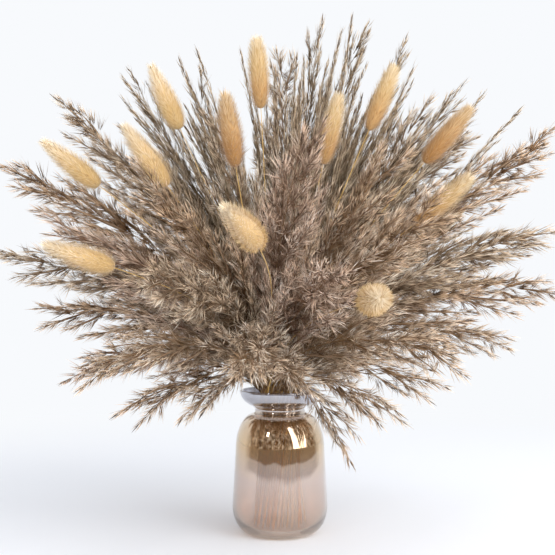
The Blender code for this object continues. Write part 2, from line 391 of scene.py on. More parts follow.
def map_place(tree):
    """The sockets of a point's place on the mesh map: X across it and Y up it."""
    place = add(tree, "ShaderNodeUVMap", uv_map=MAP_NAME).outputs["UV"]
    return add(tree, "ShaderNodeSeparateXYZ", {"Vector": place}).outputs


def new_material(name):
    """An empty material and its node tree."""
    made = bpy.data.materials.new(name)
    made.use_nodes = True
    made.node_tree.nodes.clear()
    return made, made.node_tree


def unit(vectors):
    """The vectors at length 1, along their last axis."""
    return vectors / np.maximum(np.linalg.norm(vectors, axis=-1, keepdims=True), 1e-12)


def heading(compass, lean):
    """The unit vector at a compass angle, leaning from upright by an angle, both in degrees."""
    around, down = math.radians(compass), math.radians(lean)
    return np.array([math.cos(around) * math.sin(down), math.sin(around) * math.sin(down), math.cos(down)])


def sideways(directions):
    """Two unit vectors at right angles to each direction and to each other."""
    pole = np.where(np.abs(directions[..., 2:]) > 0.9, [1.0, 0.0, 0.0], [0.0, 0.0, 1.0])
    side = unit(np.cross(directions, pole))
    return side, np.cross(directions, side)


def tipped(directions, angle, around):
    """Each direction leant over by an angle towards a compass angle round it: cosine along, sine outwards."""
    side, other = sideways(directions)
    out = np.cos(around)[..., None] * side + np.sin(around)[..., None] * other
    return np.cos(angle)[..., None] * directions + np.sin(angle)[..., None] * out


def even_steps(path, count):
    """The path again, with its points the same distance apart along it, and its length."""
    run = np.concatenate([[0.0], np.cumsum(np.linalg.norm(np.diff(path, axis=0), axis=1))])
    at = np.linspace(0.0, run[-1], count)
    return np.stack([np.interp(at, run, path[:, k]) for k in range(3)], axis=1), run[-1]


def along(path, places):
    """Points and directions at places from 0 to 1 along an evenly stepped path."""
    at = np.linspace(0.0, 1.0, len(path))
    slopes = np.gradient(path, axis=0)
    points = np.stack([np.interp(places, at, path[:, k]) for k in range(3)], axis=-1)
    directions = np.stack([np.interp(places, at, slopes[:, k]) for k in range(3)], axis=-1)
    return points, unit(directions)


# ---- Where every stalk goes


def bundle_places(compasses, leans):
    """Where each stem passes the neck: further out the more it leans, then pushed apart to a spacing."""
    around = np.radians(compasses - SPIRAL_TURN)
    width = BUNDLE_RADIUS - BUNDLE_HOLLOW
    out = BUNDLE_HOLLOW + width * np.clip(leans / 90.0, 0.0, 1.0) ** BUNDLE_SPREAD
    places = np.stack([out * np.cos(around), out * np.sin(around)], axis=1)
    others = 1.0 - np.eye(len(places))
    for _ in range(SPACING_ROUNDS):
        apart = places[:, None] - places[None]
        distance = np.linalg.norm(apart, axis=2) + np.eye(len(places))
        push = others * np.clip(STEM_SPACING - distance, 0.0, None) / distance
        places = places + SPACING_PUSH * (push[:, :, None] * apart).sum(axis=1)
        out = np.linalg.norm(places, axis=1)
        places = places * (np.clip(out, BUNDLE_HOLLOW, BUNDLE_RADIUS) / out)[:, None]
    return places


def stalk_path(place, compass, lean, reach, turn):
    """A stalk's centre line from the neck to its tip: a cubic Bezier that leaves along the spiral and sags.

    Its two inner points lie shares of the reach from its ends.
    """
    neck = np.array([place[0], place[1], BIND_HEIGHT])
    leaving = unit(np.array([-SPIRAL_PER_METRE * place[1], SPIRAL_PER_METRE * place[0], 1.0]))
    tip = np.array([0.0, 0.0, BIND_HEIGHT]) + reach * heading(compass, lean)
    sag = SAG_DEGREES * (lean / FULL_LEAN) ** SAG_GROWTH
    low = neck + (LEAVING_SHARE * reach + RISE * lean / FULL_LEAN) * leaving
    high = tip - ARRIVING_SHARE * reach * heading(compass + turn, lean + sag)
    t = np.linspace(0.0, 1.0, PATH_POINTS)[:, None]
    return (1 - t) ** 3 * neck + 3 * (1 - t) ** 2 * t * low + 3 * (1 - t) * t**2 * high + t**3 * tip


def stem_foot(place):
    """Where a stem stands: the same straight line of the spiral, followed down to the vase's floor."""
    drop = SPIRAL_PER_METRE * (BIND_HEIGHT - STEM_FOOT)
    return np.array([place[0] + drop * place[1], place[1] - drop * place[0], STEM_FOOT])


# ---- Shapes: each gives points, triangles, map places and whether its faces are rounded


def strokes(base, tip, across, width, lift, tone, low, high, strip=HUSK_STRIP, rounded=False):
    """Thin closed wedges, one for each husk, hair or bristle: a corner at each end and two near the middle.

    The middle corners lie half the width out to either side of a point on the stroke's line, which the lift
    raises off it. On the map a stroke is a strip as wide as strip to either side of its tone, and it runs
    from its low value to its high one.
    """
    run = tip - base
    forward = unit(run)
    side = unit(across - forward * (across * forward).sum(-1, keepdims=True))
    middle = base + MIDDLE * run + np.cross(forward, side) * lift[:, None]
    reach = side * width[:, None] / 2
    points = np.stack([base, tip, middle + reach, middle - reach], axis=1)
    corners = np.array([[0, 2, 3], [1, 3, 2], [0, 1, 2], [0, 3, 1]])
    faces = np.arange(len(base))[:, None, None] * 4 + corners[None]
    tones = np.stack([tone, tone, tone + strip, tone - strip], axis=1)
    middle_value = low + MIDDLE * (high - low)
    places = np.stack([tones, np.stack([low, high, middle_value, middle_value], axis=1)], axis=2)
    return points.reshape(-1, 3), faces.reshape(-1, 3), places.reshape(-1, 2), rounded


def ring_faces(steps, sides):
    """The triangles of a closed skin over stacked rings, with a fan from an end point under and over them.

    The rings' points come first, and then the two end points.
    """
    s, k = np.meshgrid(np.arange(steps - 1), np.arange(sides), indexing="ij")
    near = (s * sides + k).ravel()
    far = (s * sides + (k + 1) % sides).ravel()
    halves = [np.stack([near, far, far + sides], 1), np.stack([near, far + sides, near + sides], 1)]
    k = np.arange(sides)
    last = (steps - 1) * sides
    foot = np.stack([np.full(sides, steps * sides), (k + 1) % sides, k], axis=1)
    crown = np.stack([np.full(sides, steps * sides + 1), last + k, last + (k + 1) % sides], axis=1)
    return np.concatenate([*halves, foot, crown])


def rods(paths, radii, sides, tones):
    """Closed round rods along many paths at once, with a fan of triangles on each end.

    Each ring is the path's point plus the radius times the cosine of one sideways vector and the sine of
    the other. On the map a rod's face goes there and back between two tones, and its length runs upwards.
    """
    count, steps, _ = paths.shape
    forward = unit(np.gradient(paths, axis=1))
    chord = unit(paths[:, -1:] - paths[:, :1])
    side, _ = sideways(chord)
    side = unit(side - forward * (side * forward).sum(-1, keepdims=True))
    other = np.cross(forward, side)
    angles = np.linspace(0.0, math.tau, sides, endpoint=False)[:, None]
    ring = np.cos(angles) * side[:, :, None] + np.sin(angles) * other[:, :, None]
    rings = paths[:, :, None] + radii[:, :, None, None] * ring
    points = np.concatenate([rings.reshape(count, -1, 3), paths[:, :1], paths[:, -1:]], axis=1)
    faces = ring_faces(steps, sides)[None] + np.arange(count)[:, None, None] * points.shape[1]
    turning = tones[0] + (tones[1] - tones[0]) * (0.5 - 0.5 * np.cos(angles[:, 0]))
    grid = np.stack(np.meshgrid(turning, np.linspace(0.0, 1.0, steps), indexing="xy"), axis=-1)
    places = np.concatenate([grid.reshape(-1, 2), [[tones[0], 0.0], [tones[0], 1.0]]])
    return points.reshape(-1, 3), faces.reshape(-1, 3), np.tile(places, (count, 1)), True


def piece(name, blocks, look):
    """One mesh object from several shapes, joined end to end, with its map places just inside the map."""
    starts = np.cumsum([0] + [len(block[0]) for block in blocks[:-1]])
    points = np.concatenate([block[0] for block in blocks])
    faces = np.concatenate([block[1] + start for block, start in zip(blocks, starts)])
    places = np.clip(np.concatenate([block[2] for block in blocks]), 0.001, 0.999)
    rounded = np.concatenate([np.broadcast_to(block[3], len(block[1])) for block in blocks])
    data = bpy.data.meshes.new(name)
    data.vertices.add(len(points))
    data.vertices.foreach_set("co", points.astype(np.float32).ravel())
    data.loops.add(faces.size)
    data.loops.foreach_set("vertex_index", faces.astype(np.int32).ravel())
    data.polygons.add(len(faces))
    data.polygons.foreach_set("loop_start", np.arange(0, faces.size, 3, dtype=np.int32))
    data.polygons.foreach_set("use_smooth", rounded)
    data.update(calc_edges=True)
    layer = data.uv_layers.new(name=MAP_NAME)
    layer.uv.foreach_set("vector", places[faces.ravel()].astype(np.float32).ravel())
    data.materials.append(look)
    made = bpy.data.objects.new(name, data)
    bpy.context.scene.collection.objects.link(made)
    return made


def stem(path, foot, radius, tones):
    """A stalk from its foot on the vase's floor upwards.

    Its radius stays the same over the first part of its length, and then falls evenly to a share of itself.
    """
    line, _ = even_steps(np.vstack([foot, path]), STEM_STEPS)
    upper = (np.linspace(0.0, 1.0, STEM_STEPS) - THINS_FROM) / (1.0 - THINS_FROM)
    radii = radius * (1.0 - (1.0 - THINNEST) * np.clip(upper, 0.0, 1.0))
    return rods(line[None], radii[None], STEM_SIDES, tones)


# ---- Reed plumes


class Tufts(NamedTuple):
    """A plume's tufts of hairs: arrays with a row for each."""

    branch: np.ndarray  # the number of the branch that it stands on
    place: np.ndarray  # how far along that branch, from 0 to 1
    foot: np.ndarray  # the point where it stands
    away: np.ndarray  # the direction straight out of the branch
    way: np.ndarray  # the direction that it points in
    airy: np.ndarray  # from 0 where the plume is close to 1 at its thin ends


def plume_girth(h):
    """A plume's width from start to tip, as a share of its widest.

    It fills out with the 0.6th power of the way over its first part, times the 0.8th power of what the cube
    of the way up leaves of 1, which closes it at the tip.
    """
    return np.clip(h / FILLED_OUT, 0.0, 1.0) ** 0.6 * (1.0 - np.clip(h, 0.0, 1.0) ** 3) ** 0.8


def grow_branches(rachis, length, fullness, habit, dice):
    """A plume's branches: where each ends up the plume, its length, its points, and its down's radii.

    The ends are spread so that there are more of them where the plume is wide and towards its tip. Each lies
    within the plume's half width, unless the branch would then be shorter than the least one. A branch leaves
    the stalk at an angle, a golden turn on from the last. It bends back towards the stalk's direction, and
    drops, with the square of the way along it.
    """
    count = int(round(length / habit["branch_spacing"]))
    order = np.arange(count)
    h = np.linspace(0.0, 1.0, CROWDING_STEPS)
    filling = np.cumsum(h**CROWDING * (LEAST_CROWDING + plume_girth(h)))
    ends = np.interp((order + FIRST_END) / (count - (1.0 - FIRST_END)), filling / filling[-1], h)
    lean = np.radians(dice.uniform(*habit["branch_lean"], count) * (1.0 - TIP_UPRIGHTNESS * ends))

    share = THINNEST_PLUME + (1.0 - THINNEST_PLUME) * fullness
    wide = habit["girth"] * plume_girth(ends) * share * np.clip(length / USUAL_PLUME, SHORTEST_PLUME, 1.0)
    width = np.maximum(wide * dice.uniform(*WIDTH_SQUARES, count) ** 0.5, LEAST_WIDTH)
    reach = np.maximum(width / ((1.0 - BRANCH_BEND) * np.sin(lean)), LEAST_BRANCH)
    run = reach * (np.cos(lean) * (1.0 - BRANCH_BEND) + BRANCH_BEND)
    roots, axes = along(rachis, np.maximum(ends - run / length, 0.0))
    out = tipped(axes, lean, GOLDEN_TURN * order + dice.normal(0.0, BRANCH_SCATTER, count))

    r = np.linspace(0.0, 1.0, BRANCH_POINTS)[None, :, None]
    line = r * out[:, None] + BRANCH_BEND * r**2 * (axes - out)[:, None] + r**2 * (BRANCH_DROOP * DOWNWARDS)
    points = roots[:, None] + reach[:, None, None] * line
    thinning = 1.0 - TIP_THINNING * ends
    thick = habit["down_radius"] * fullness * thinning * dice.uniform(*BRANCH_GIRTHS, count)
    girth = thick[:, None] * np.array(BRANCH_SWELL) * dice.uniform(*POINT_GIRTHS, (count, BRANCH_POINTS))
    return ends, reach, points, girth


def stand_tufts(ends, reach, points, girth, habit, dice):
    """Tufts evenly along every branch, in a golden spiral round it, between its middle and its down's skin.

    A tuft points along its branch and leans outwards, by less towards the branch's end.
    """
    per_branch = np.maximum(np.round(reach / habit["tuft_spacing"]).astype(int), LEAST_TUFTS)
    branch = np.repeat(np.arange(len(reach)), per_branch)
    number = np.concatenate([np.arange(n) for n in per_branch])
    place = (number + FIRST_TUFT) / per_branch[branch]
    step = place * (BRANCH_POINTS - 1)
    cell = np.minimum(step.astype(int), BRANCH_POINTS - 2)
    part = step - cell
    near, far = points[branch, cell], points[branch, cell + 1]
    ahead = unit(far - near)
    around = GOLDEN_TURN * number + dice.normal(0.0, TUFT_SCATTER, len(place))
    away = tipped(ahead, np.full(len(place), math.pi / 2), around)
    skin = girth[branch, cell] * (1.0 - part) + girth[branch, cell + 1] * part
    depth = skin * dice.uniform(*TUFT_DEPTHS, len(place))
    foot = near + part[:, None] * (far - near) + away * depth[:, None]
    end = np.clip((place - AIRY_FROM) / (1.0 - AIRY_FROM), 0.0, 1.0)
    lean = np.radians(dice.normal(*habit["tuft_lean"], len(place))) * (1.0 - AIRY_UPRIGHTNESS * end)
    way = unit(np.cos(lean)[:, None] * ahead + np.sin(lean)[:, None] * away)
    airy = end**2 * np.clip(AIRY_AT_START + AIRY_GAIN * ends[branch], 0.0, 1.0)
    return Tufts(branch, place, foot, away, way, airy)


def add_husks(tufts, habit, dice):
    """Narrow brown husks in some of the tufts, and in more of them where the plume is airy."""
    chance = habit["husks"] + AIRY_HUSKS * tufts.airy
    chosen = np.flatnonzero(dice.uniform(0.0, 1.0, len(tufts.place)) < chance)
    count = len(chosen)
    return strokes(
        tufts.foot[chosen],
        tufts.foot[chosen] + tufts.way[chosen] * (HUSK_LENGTH * dice.uniform(*HUSK_SIZES, count))[:, None],
        dice.normal(size=(count, 3)),
        HUSK_WIDTH * dice.uniform(*HUSK_SIZES, count),
        np.full(count, HUSK_FOLD),
        np.clip(dice.normal(*HUSK_TONES, count), *HUSK_TONE_LIMITS),
        np.zeros(count),
        np.ones(count),
    )


def fan_hairs(tufts, lightness, fullness, habit, dice):
    """Each tuft's hairs, fanned out from its foot within a cone.

    There are fewer hairs, and shorter ones, where the plume is airy. Those near a branch's root stay dark all
    the way up, painted dark for the shade they lie in. Across its strip of the map a hair has a lighter and a
    darker edge, painted shading for the lit and shaded sides of a round hair, and every other hair is
    rounded, so that the fluff looks silky and not like cut paper.
    """
    share = SPARSEST_PLUME + (1.0 - SPARSEST_PLUME) * fullness
    wanted = habit["hairs"] * share * (1.0 - AIRY_HAIRS_LOST * tufts.airy)
    hairs = np.floor(wanted + dice.uniform(0.0, 1.0, len(wanted))).astype(int)
    host = np.repeat(np.arange(len(wanted)), hairs)
    count = len(host)
    angle = np.radians(dice.uniform(0.0, habit["hair_spread"], count))
    way = tipped(tufts.way[host], angle, dice.uniform(0.0, math.tau, count))
    base = tufts.foot[host] + HAIR_SCATTER * dice.normal(size=way.shape)
    length = HAIR_LENGTH * dice.uniform(*HAIR_LENGTHS, count) * (1.0 - AIRY_LENGTH_LOST * tufts.airy[host])
    return strokes(
        base,
        base + way * length[:, None],
        np.cross(way, tufts.away[host]) + HAIR_TWIST * dice.normal(size=base.shape),
        habit["hair_width"] * dice.uniform(*HAIR_WIDTHS, count),
        np.full(count, HAIR_FOLD),
        np.clip(lightness[host] + dice.normal(0.0, HAIR_LIGHTNESS, count), *HAIR_TONE_LIMITS),
        np.zeros(count),
        np.clip(SHADE_GAIN * tufts.place[host] - SHADE_OFFSET, DEEPEST_SHADE, 1.0),
        strip=HAIR_SHADING_STRIP,
        rounded=np.repeat(np.arange(count) % 2 == 0, 4),
    )


def grow_plume(path, fullness, habit, dice):
    """A plume's shapes: the branches with their thin inner down, coloured dark as painted shade inside the
    plume, the husks and the hairs.
    """
    _, stalk_length = even_steps(path, PLUME_STEPS)
    bare = SHORT_PLUME_START if stalk_length < SHORT_STALK else PLUME_START
    rachis, length = even_steps(path[int(bare * PATH_POINTS) :], PLUME_STEPS)
    ends, reach, points, girth = grow_branches(rachis, length, fullness, habit, dice)
    tufts = stand_tufts(ends, reach, points, girth, habit, dice)
    by_branch = MEAN_LIGHTNESS + dice.normal(0.0, BRANCH_LIGHTNESS, len(reach))
    lightness = by_branch[tufts.branch] + dice.normal(0.0, TUFT_LIGHTNESS, len(tufts.place))
    husks = add_husks(tufts, habit, dice)
    hairs = fan_hairs(tufts, lightness, fullness, habit, dice)
    # the down takes dark tones near the roots' end of the map, as painted shade inside the fluff
    down = rods(points, np.maximum(DOWN_CORE * girth, BRANCH_RADIUS), DOWN_SIDES, DOWN_SHADE_TONES)
    down[2][:, 1] = dice.uniform(0.0, DOWN_SHADE, len(down[2]))
    return [down, husks, hairs]


# ---- Bunny tails


def tail_girth(h, radius, taper):
    """The core's radius at a share h of its length: h to a low power, times 1 less h to the taper's power.

    It is scaled so that its widest is the radius. A taper near 1 gives a flame, and near 0.5 a blunt roll.
    """
    h = np.clip(h, 0.0, 1.0)
    widest = CORE_SWELL / (CORE_SWELL + taper)
    most = widest**CORE_SWELL * (1.0 - widest) ** taper
    return radius * h**CORE_SWELL * (1.0 - h) ** taper / most


def grow_tail(path, radius, taper, dice):
    """A bunny tail's head: a core along the end of the stem, covered in bristles.

    Bristles stand on the core in a golden spiral, between straight out and forwards. Towards the tip they lie
    flatter and are longer.
    """
    fine, length = even_steps(path, TAIL_FINENESS)
    head_start = 1.0 - TAIL_LENGTH / length
    core_share = CORE_LENGTH / length
    h = (1.0 - np.cos(np.linspace(0.0, math.pi, CORE_STEPS))) / 2
    line, _ = along(fine, head_start + core_share * h)
    radii = np.maximum(tail_girth(h, radius, taper), LEAST_CORE)
    core = rods(line[None], radii[None], CORE_SIDES, CORE_SHADE_TONES)
    core[2][:, 1] = HEAD_TOP * np.append(np.repeat(h, CORE_SIDES), [0.0, 1.0])

    order = np.arange(BRISTLES)
    up = ((order + 0.5) / BRISTLES) ** BRISTLES_CLOSE_UP * BRISTLES_END
    around = GOLDEN_TURN * order + dice.normal(0.0, BRISTLE_SCATTER, BRISTLES)
    centre, ahead = along(fine, head_start + core_share * up)
    outward = tipped(ahead, np.full(BRISTLES, math.pi / 2), around)
    leaning = dice.normal(*BRISTLE_LEAN, BRISTLES) * (1.0 - TIP_FLATNESS * up)
    lean = np.radians(leaning + BASE_LEAN * (1.0 - up) ** 6)
    way = np.cos(lean)[:, None] * ahead + np.sin(lean)[:, None] * outward
    base = centre + outward * (tail_girth(up, radius, taper) * BRISTLE_ROOTS)[:, None]
    growth = BASE_BRISTLE + BRISTLE_GROWTH * up
    reach = BRISTLE_LENGTH * dice.uniform(*BRISTLE_LENGTHS, BRISTLES) * growth
    bristles = strokes(
        base,
        base + way * reach[:, None],
        np.cross(way, outward),
        BRISTLE_WIDTH * dice.uniform(*BRISTLE_WIDTHS, BRISTLES),
        np.full(BRISTLES, BRISTLE_FOLD),
        np.clip(dice.normal(*BRISTLE_TONES, BRISTLES), *BRISTLE_TONE_LIMITS),
        HEAD_TOP * up,
        HEAD_TOP * up + (1.0 - HEAD_TOP),
    )
    return [core, bristles]


# ---- The vase


def arc(centre, radii, start, end, steps):
    """Points (radius, height) on an ellipse's arc between two angles in degrees, ends included."""
    angles = np.radians(np.linspace(start, end, steps + 1))
    return np.stack([centre[0] + radii[0] * np.cos(angles), centre[1] + radii[1] * np.sin(angles)], axis=1)


def vase_profile(inset, floor):
    """The vase's outline from foot to rim, moved inwards by inset, with its flat bottom at height floor.

    It is a quarter ellipse at the foot, a straight wall that narrows a little, an ellipse's arc over the
    shoulder, a short straight neck, and another arc out to the lip.
    """
    corner = (BODY_RADIUS - FOOT_RADIUS - inset, BODY_HEIGHT - floor)
    foot = arc((FOOT_RADIUS, BODY_HEIGHT), corner, -90, 0, ARC_STEPS)
    dome = (SHOULDER_RADIUS - NECK_RADIUS, NECK_LOW - SHOULDER_HEIGHT)
    shoulder = arc((NECK_RADIUS - inset, SHOULDER_HEIGHT), dome, 0, SHOULDER_END, SHOULDER_STEPS)
    inner = NECK_RADIUS - inset
    neck = np.array([[inner, NECK_LOW + NECK_EASE], [inner, NECK_HIGH - NECK_EASE]])
    bowl = (RIM_RADIUS - NECK_RADIUS + LIP_SPREAD, RIM_HEIGHT - NECK_HIGH)
    lip = arc((NECK_RADIUS - inset - LIP_SPREAD, RIM_HEIGHT), bowl, LIP_START, 0, ARC_STEPS)
    return np.concatenate([foot, shoulder, neck, lip])


def build_vase(look):
    """The blown bottle: its outer outline, a round rim and its inner outline, turned once round the axis.

    On the map the outline runs upwards, so that the outer side is the lower half, and round the axis it goes
    there and back.
    """
    rim = arc((RIM_RADIUS - WALL / 2, RIM_HEIGHT), (WALL / 2, WALL / 3), *RIM_ARC, RIM_STEPS)
    outline = np.concatenate([vase_profile(0.0, 0.0), rim, vase_profile(WALL, FLOOR)[::-1]])
    steps = len(outline)
    angles = np.linspace(0.0, math.tau, VASE_SIDES, endpoint=False)
    radius, height = outline[:, :1], outline[:, 1:]
    across = [radius * np.cos(angles), radius * np.sin(angles)]
    rings = np.stack([*across, np.repeat(height, VASE_SIDES, axis=1)], axis=2)
    points = np.concatenate([rings.reshape(-1, 3), [[0.0, 0.0, 0.0], [0.0, 0.0, FLOOR]]])
    around = 0.5 - 0.5 * np.cos(angles)
    grid = np.stack(np.meshgrid(around, np.linspace(0.0, 1.0, steps), indexing="xy"), axis=-1)
    places = np.concatenate([grid.reshape(-1, 2), [[0.5, 0.0], [0.5, 1.0]]])
    return piece("vase_glass", [(points, ring_faces(steps, VASE_SIDES), places, True)], look)


# ---- Materials


def dried_reed(name, roots, tips):
    """Dried common reed: thin husks and silky hairs, cut and hung to dry, with nothing on them.

    That leaves them matt, so they gleam little, and so thin that some light comes through. They are dark at
    their roots, partly in their own colour and partly as painted shade of the fluff's depth, and bleached at
    their tips. Across the map lie the straw, then the husks, then the hairs from the shaded to the bleached
    ones. Up the map a stroke goes from its root to its tip, and a stem from its foot, lighter as painted
    light where the glass dims the lamps, to its browner top.
    """
    made, tree = new_material(name)
    split = map_place(tree)
    # the root stops hold the stems' feet, lighter as painted light, and the hairs' roots, darker partly as
    # painted shade
    root_stops = list(zip(MAP_STOPS, STRAW[:2] + HUSK[:2] + roots))
    tip_stops = list(zip(MAP_STOPS, STRAW[2:] + HUSK[1:] + tips))
    low = add(tree, "ShaderNodeValToRGB", {"Fac": split["X"]}, stops=root_stops).outputs["Color"]
    high = add(tree, "ShaderNodeValToRGB", {"Fac": split["X"]}, stops=tip_stops).outputs["Color"]
    fade = add(tree, "ShaderNodeMapRange", {"Value": split["Y"], "From Min": 0.0, "From Max": TIP_COLOUR_FROM})
    ends = {"Factor": fade.outputs["Result"], FIRST_COLOUR: low, SECOND_COLOUR: high}
    colour = add(tree, "ShaderNodeMix", ends, data_type="RGBA").outputs[MIXED_COLOUR]
    matt = {"Base Color": colour, "Roughness": 0.8, "Specular IOR Level": 0.3}
    face = add(tree, "ShaderNodeBsdfPrincipled", matt)
    through = add(tree, "ShaderNodeBsdfTranslucent", {"Color": colour})
    both = add(tree, "ShaderNodeMixShader", {0: LIGHT_THROUGH, 1: face.outputs[0], 2: through.outputs[0]})
    add(tree, "ShaderNodeOutputMaterial", {"Surface": both.outputs[0]})
    return made


def dried_tail(name, base, middle, tip):
    """Dried hare's-tail grass: silky bristles, golden where they sit on the seed head and cream at its end.

    Their down gives the head a faint sheen. Across the map lie the straw of the stem and then the bristles'
    tones, from shaded to bleached, and the core takes darker ones among them, as painted shade in the gaps
    between bristles. Up the map the head goes from base to tip.
    """
    made, tree = new_material(name)
    split = map_place(tree)
    upwards = [(0.0, base), (0.28, base), (0.6, middle), (1.0, tip)]
    across = [(0.0, "#FFFFFF"), (0.16, "#C4AA80"), (0.35, "#E6D8BC"), (0.55, "#FAF6EC"), (1.0, "#FFFFFF")]
    head = add(tree, "ShaderNodeValToRGB", {"Fac": split["Y"]}, stops=upwards).outputs["Color"]
    shade = add(tree, "ShaderNodeValToRGB", {"Fac": split["X"]}, stops=across).outputs["Color"]
    both = {"Factor": 1.0, FIRST_COLOUR: head, SECOND_COLOUR: shade}
    toned = add(tree, "ShaderNodeMix", both, data_type="RGBA", blend_type="MULTIPLY").outputs[MIXED_COLOUR]
    on_stem = add(tree, "ShaderNodeMath", {0: split["X"], 1: STRAW_END}, operation="LESS_THAN").outputs[0]
    parts = {"Factor": on_stem, FIRST_COLOUR: toned, SECOND_COLOUR: linear(TAIL_STRAW)}
    colour = add(tree, "ShaderNodeMix", parts, data_type="RGBA").outputs[MIXED_COLOUR]
    silky = {"Base Color": colour, "Roughness": 0.75, "Specular IOR Level": 0.3, "Sheen Weight": 0.3}
    shader = add(tree, "ShaderNodeBsdfPrincipled", silky)
    add(tree, "ShaderNodeOutputMaterial", {"Surface": shader.outputs["BSDF"]})
    return made


def lustre_glass():
    """Blown soda glass with a metal lustre fired on its outer side.

    The lustre is a film so thin that the glass is part mirror and part amber window, with a sharp clear gloss
    over both. It is thickest from the shoulder upwards, so the foot is clearer. Its tint changes with height,
    and the pearl grey at the flared lip is a painted reflection of bluish shade. The inner side is bare.
    Lamplight goes straight through the wall, lightly tinted, and reaches the stems.
    """
    made, tree = new_material("amber_lustre_glass")
    spot = add(tree, "ShaderNodeTexCoord").outputs["Object"]
    height = add(tree, "ShaderNodeSeparateXYZ", {"Vector": spot}).outputs["Z"]
    share = add(tree, "ShaderNodeMapRange", {"Value": height, "From Min": 0.0, "From Max": RIM_HEIGHT})
    # the tint by height; the pearl grey at the lip is a painted reflection of bluish shade
    tints_and_reflection = [(0.0, "#EAD9CC"), (0.40, "#E4D4CA"), (0.50, "#E4D0BA"), (0.62, "#E6CBA2"), (0.84, "#E6D2BA")]
    tints_and_reflection += [(0.9, "#D2D1D7"), (1.0, "#CECDD3")]
    tint_and_reflection = add(tree, "ShaderNodeValToRGB", {"Fac": share.outputs["Result"]}, stops=tints_and_reflection)
    run = map_place(tree)["Y"]
    side = {"Value": run, "From Min": 0.49, "From Max": 0.51, "To Min": 1.0, "To Max": 0.0}
    outside = add(tree, "ShaderNodeMapRange", side).outputs["Result"]
    film = {"Value": height, "From Min": 0.020, "From Max": 0.070, "To Min": 0.30, "To Max": 0.68}
    thickness = add(tree, "ShaderNodeMapRange", film).outputs["Result"]
    mirror = add(tree, "ShaderNodeMath", {0: outside, 1: thickness}, operation="MULTIPLY")
    glass = add(
        tree,
        "ShaderNodeBsdfPrincipled",
        {
            "Base Color": tint_and_reflection.outputs["Color"],
            "Metallic": mirror.outputs[0],
            "Roughness": 0.03,
            "IOR": 1.5,
            "Transmission Weight": 1.0,
            "Coat Weight": 0.6,
            "Coat Roughness": 0.02,
        },
    )
    shadow = add(tree, "ShaderNodeLightPath").outputs["Is Shadow Ray"]
    lamplight = add(tree, "ShaderNodeBsdfTransparent", {"Color": linear("#DCCEBC")})
    both = add(tree, "ShaderNodeMixShader", {0: shadow, 1: glass.outputs[0], 2: lamplight.outputs[0]})
    add(tree, "ShaderNodeOutputMaterial", {"Surface": both.outputs[0]})
    return made


# ---- Setting the stalks out


def build_stalks():
    """Every reed plume and bunny tail, each standing for its own CAD node.

    Stems that stand at the left of the vase are golden straw, and so is one in four of the others. The rest
    are pale.
    """
    reed_looks = {kind: dried_reed(f"dried_{kind}_reed", *codes) for kind, codes in REED_COLOURS.items()}
    tail_looks = {kind: dried_tail(f"dried_{kind}_tail", *codes) for kind, codes in TAIL_COLOURS.items()}
    dice = np.random.default_rng(ARRANGEMENT_SEED)
    turns = dice.uniform(-TURN_RANGE, TURN_RANGE, len(REED_TIPS))
    reeds = [(*row[:3], turn) for row, turn in zip(REED_TIPS, turns)]
    stalks = np.array(reeds + [row[:4] for row in TAIL_TIPS], dtype=float)
    places = bundle_places(stalks[:, 0], stalks[:, 1])
    for i, (place, stalk) in enumerate(zip(places, stalks)):
        path = stalk_path(place, *stalk)
        foot = stem_foot(place)
        dice = np.random.default_rng(GROWTH_SEED + i)
        straw = GOLDEN_STRAW if foot[0] < LEFT_OF_VASE or i % 4 == 0 else PALE_STRAW
        if i < len(REED_TIPS):
            fullness, kind = REED_TIPS[i][3:]
            node = f"reed_plume_{i + 1:02d}"
            habit = HABITS["wispy" if kind == "pale" else "bushy"]
            shapes = [stem(path[:-STALK_STOPS_BEFORE], foot, STALK_RADIUS, straw)]
            shapes += grow_plume(path, fullness, habit, dice)
            made = piece(f"plume_{i + 1:02d}", shapes, reed_looks[kind])
        else:
            number = i - len(REED_TIPS) + 1
            kind = TAIL_TIPS[number - 1][4]
            node = f"bunny_tail_{number:02d}"
            shapes = [stem(path[:-TAIL_STALK_STOPS_BEFORE], foot, TAIL_STALK_RADIUS, straw)]
            shapes += grow_tail(path, *TAIL_SHAPES[kind], dice)
            made = piece(f"tail_{number:02d}", shapes, tail_looks[kind])
        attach(made, "root")
        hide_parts(node)


build_stalks()
vase = build_vase(lustre_glass())
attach(vase, "root")
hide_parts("vase")


# ---- Camera, floor and light
CAMERA_PLACE = (0.0, -0.75, 0.185)
CAMERA_AIM = (-0.002, 0.0, 0.2058)
SENSOR_WIDTH = 36.0  # in mm, as the lens is
LENS = 59.675676
FLOOR_RADIUS = 3.0
FLOOR_SIDES = 96
FADE_START = 0.25  # how far from the vase the floor begins to fade into the backdrop
FADE_END = 0.85
RAGGEDNESS = 0.3  # how far the cloth's edge wanders, in metres
ROOM_DIRECTION = (0.17, -0.985, 0.0)
ROOM_STARTS = (-0.35, 0.05)  # the cosines from which a direction begins to be, and is, on the room's side


def ray_kinds(tree):
    """Two sockets: 1 for mirrored rays, and 1 for them and for rays seen straight or through glass."""
    path = add(tree, "ShaderNodeLightPath").outputs
    straight = {0: path["Is Camera Ray"], 1: path["Is Transmission Ray"]}
    clear = add(tree, "ShaderNodeMath", straight, operation="MAXIMUM").outputs[0]
    either = add(tree, "ShaderNodeMath", {0: clear, 1: path["Is Glossy Ray"]}, operation="MAXIMUM")
    return path["Is Glossy Ray"], either.outputs[0]


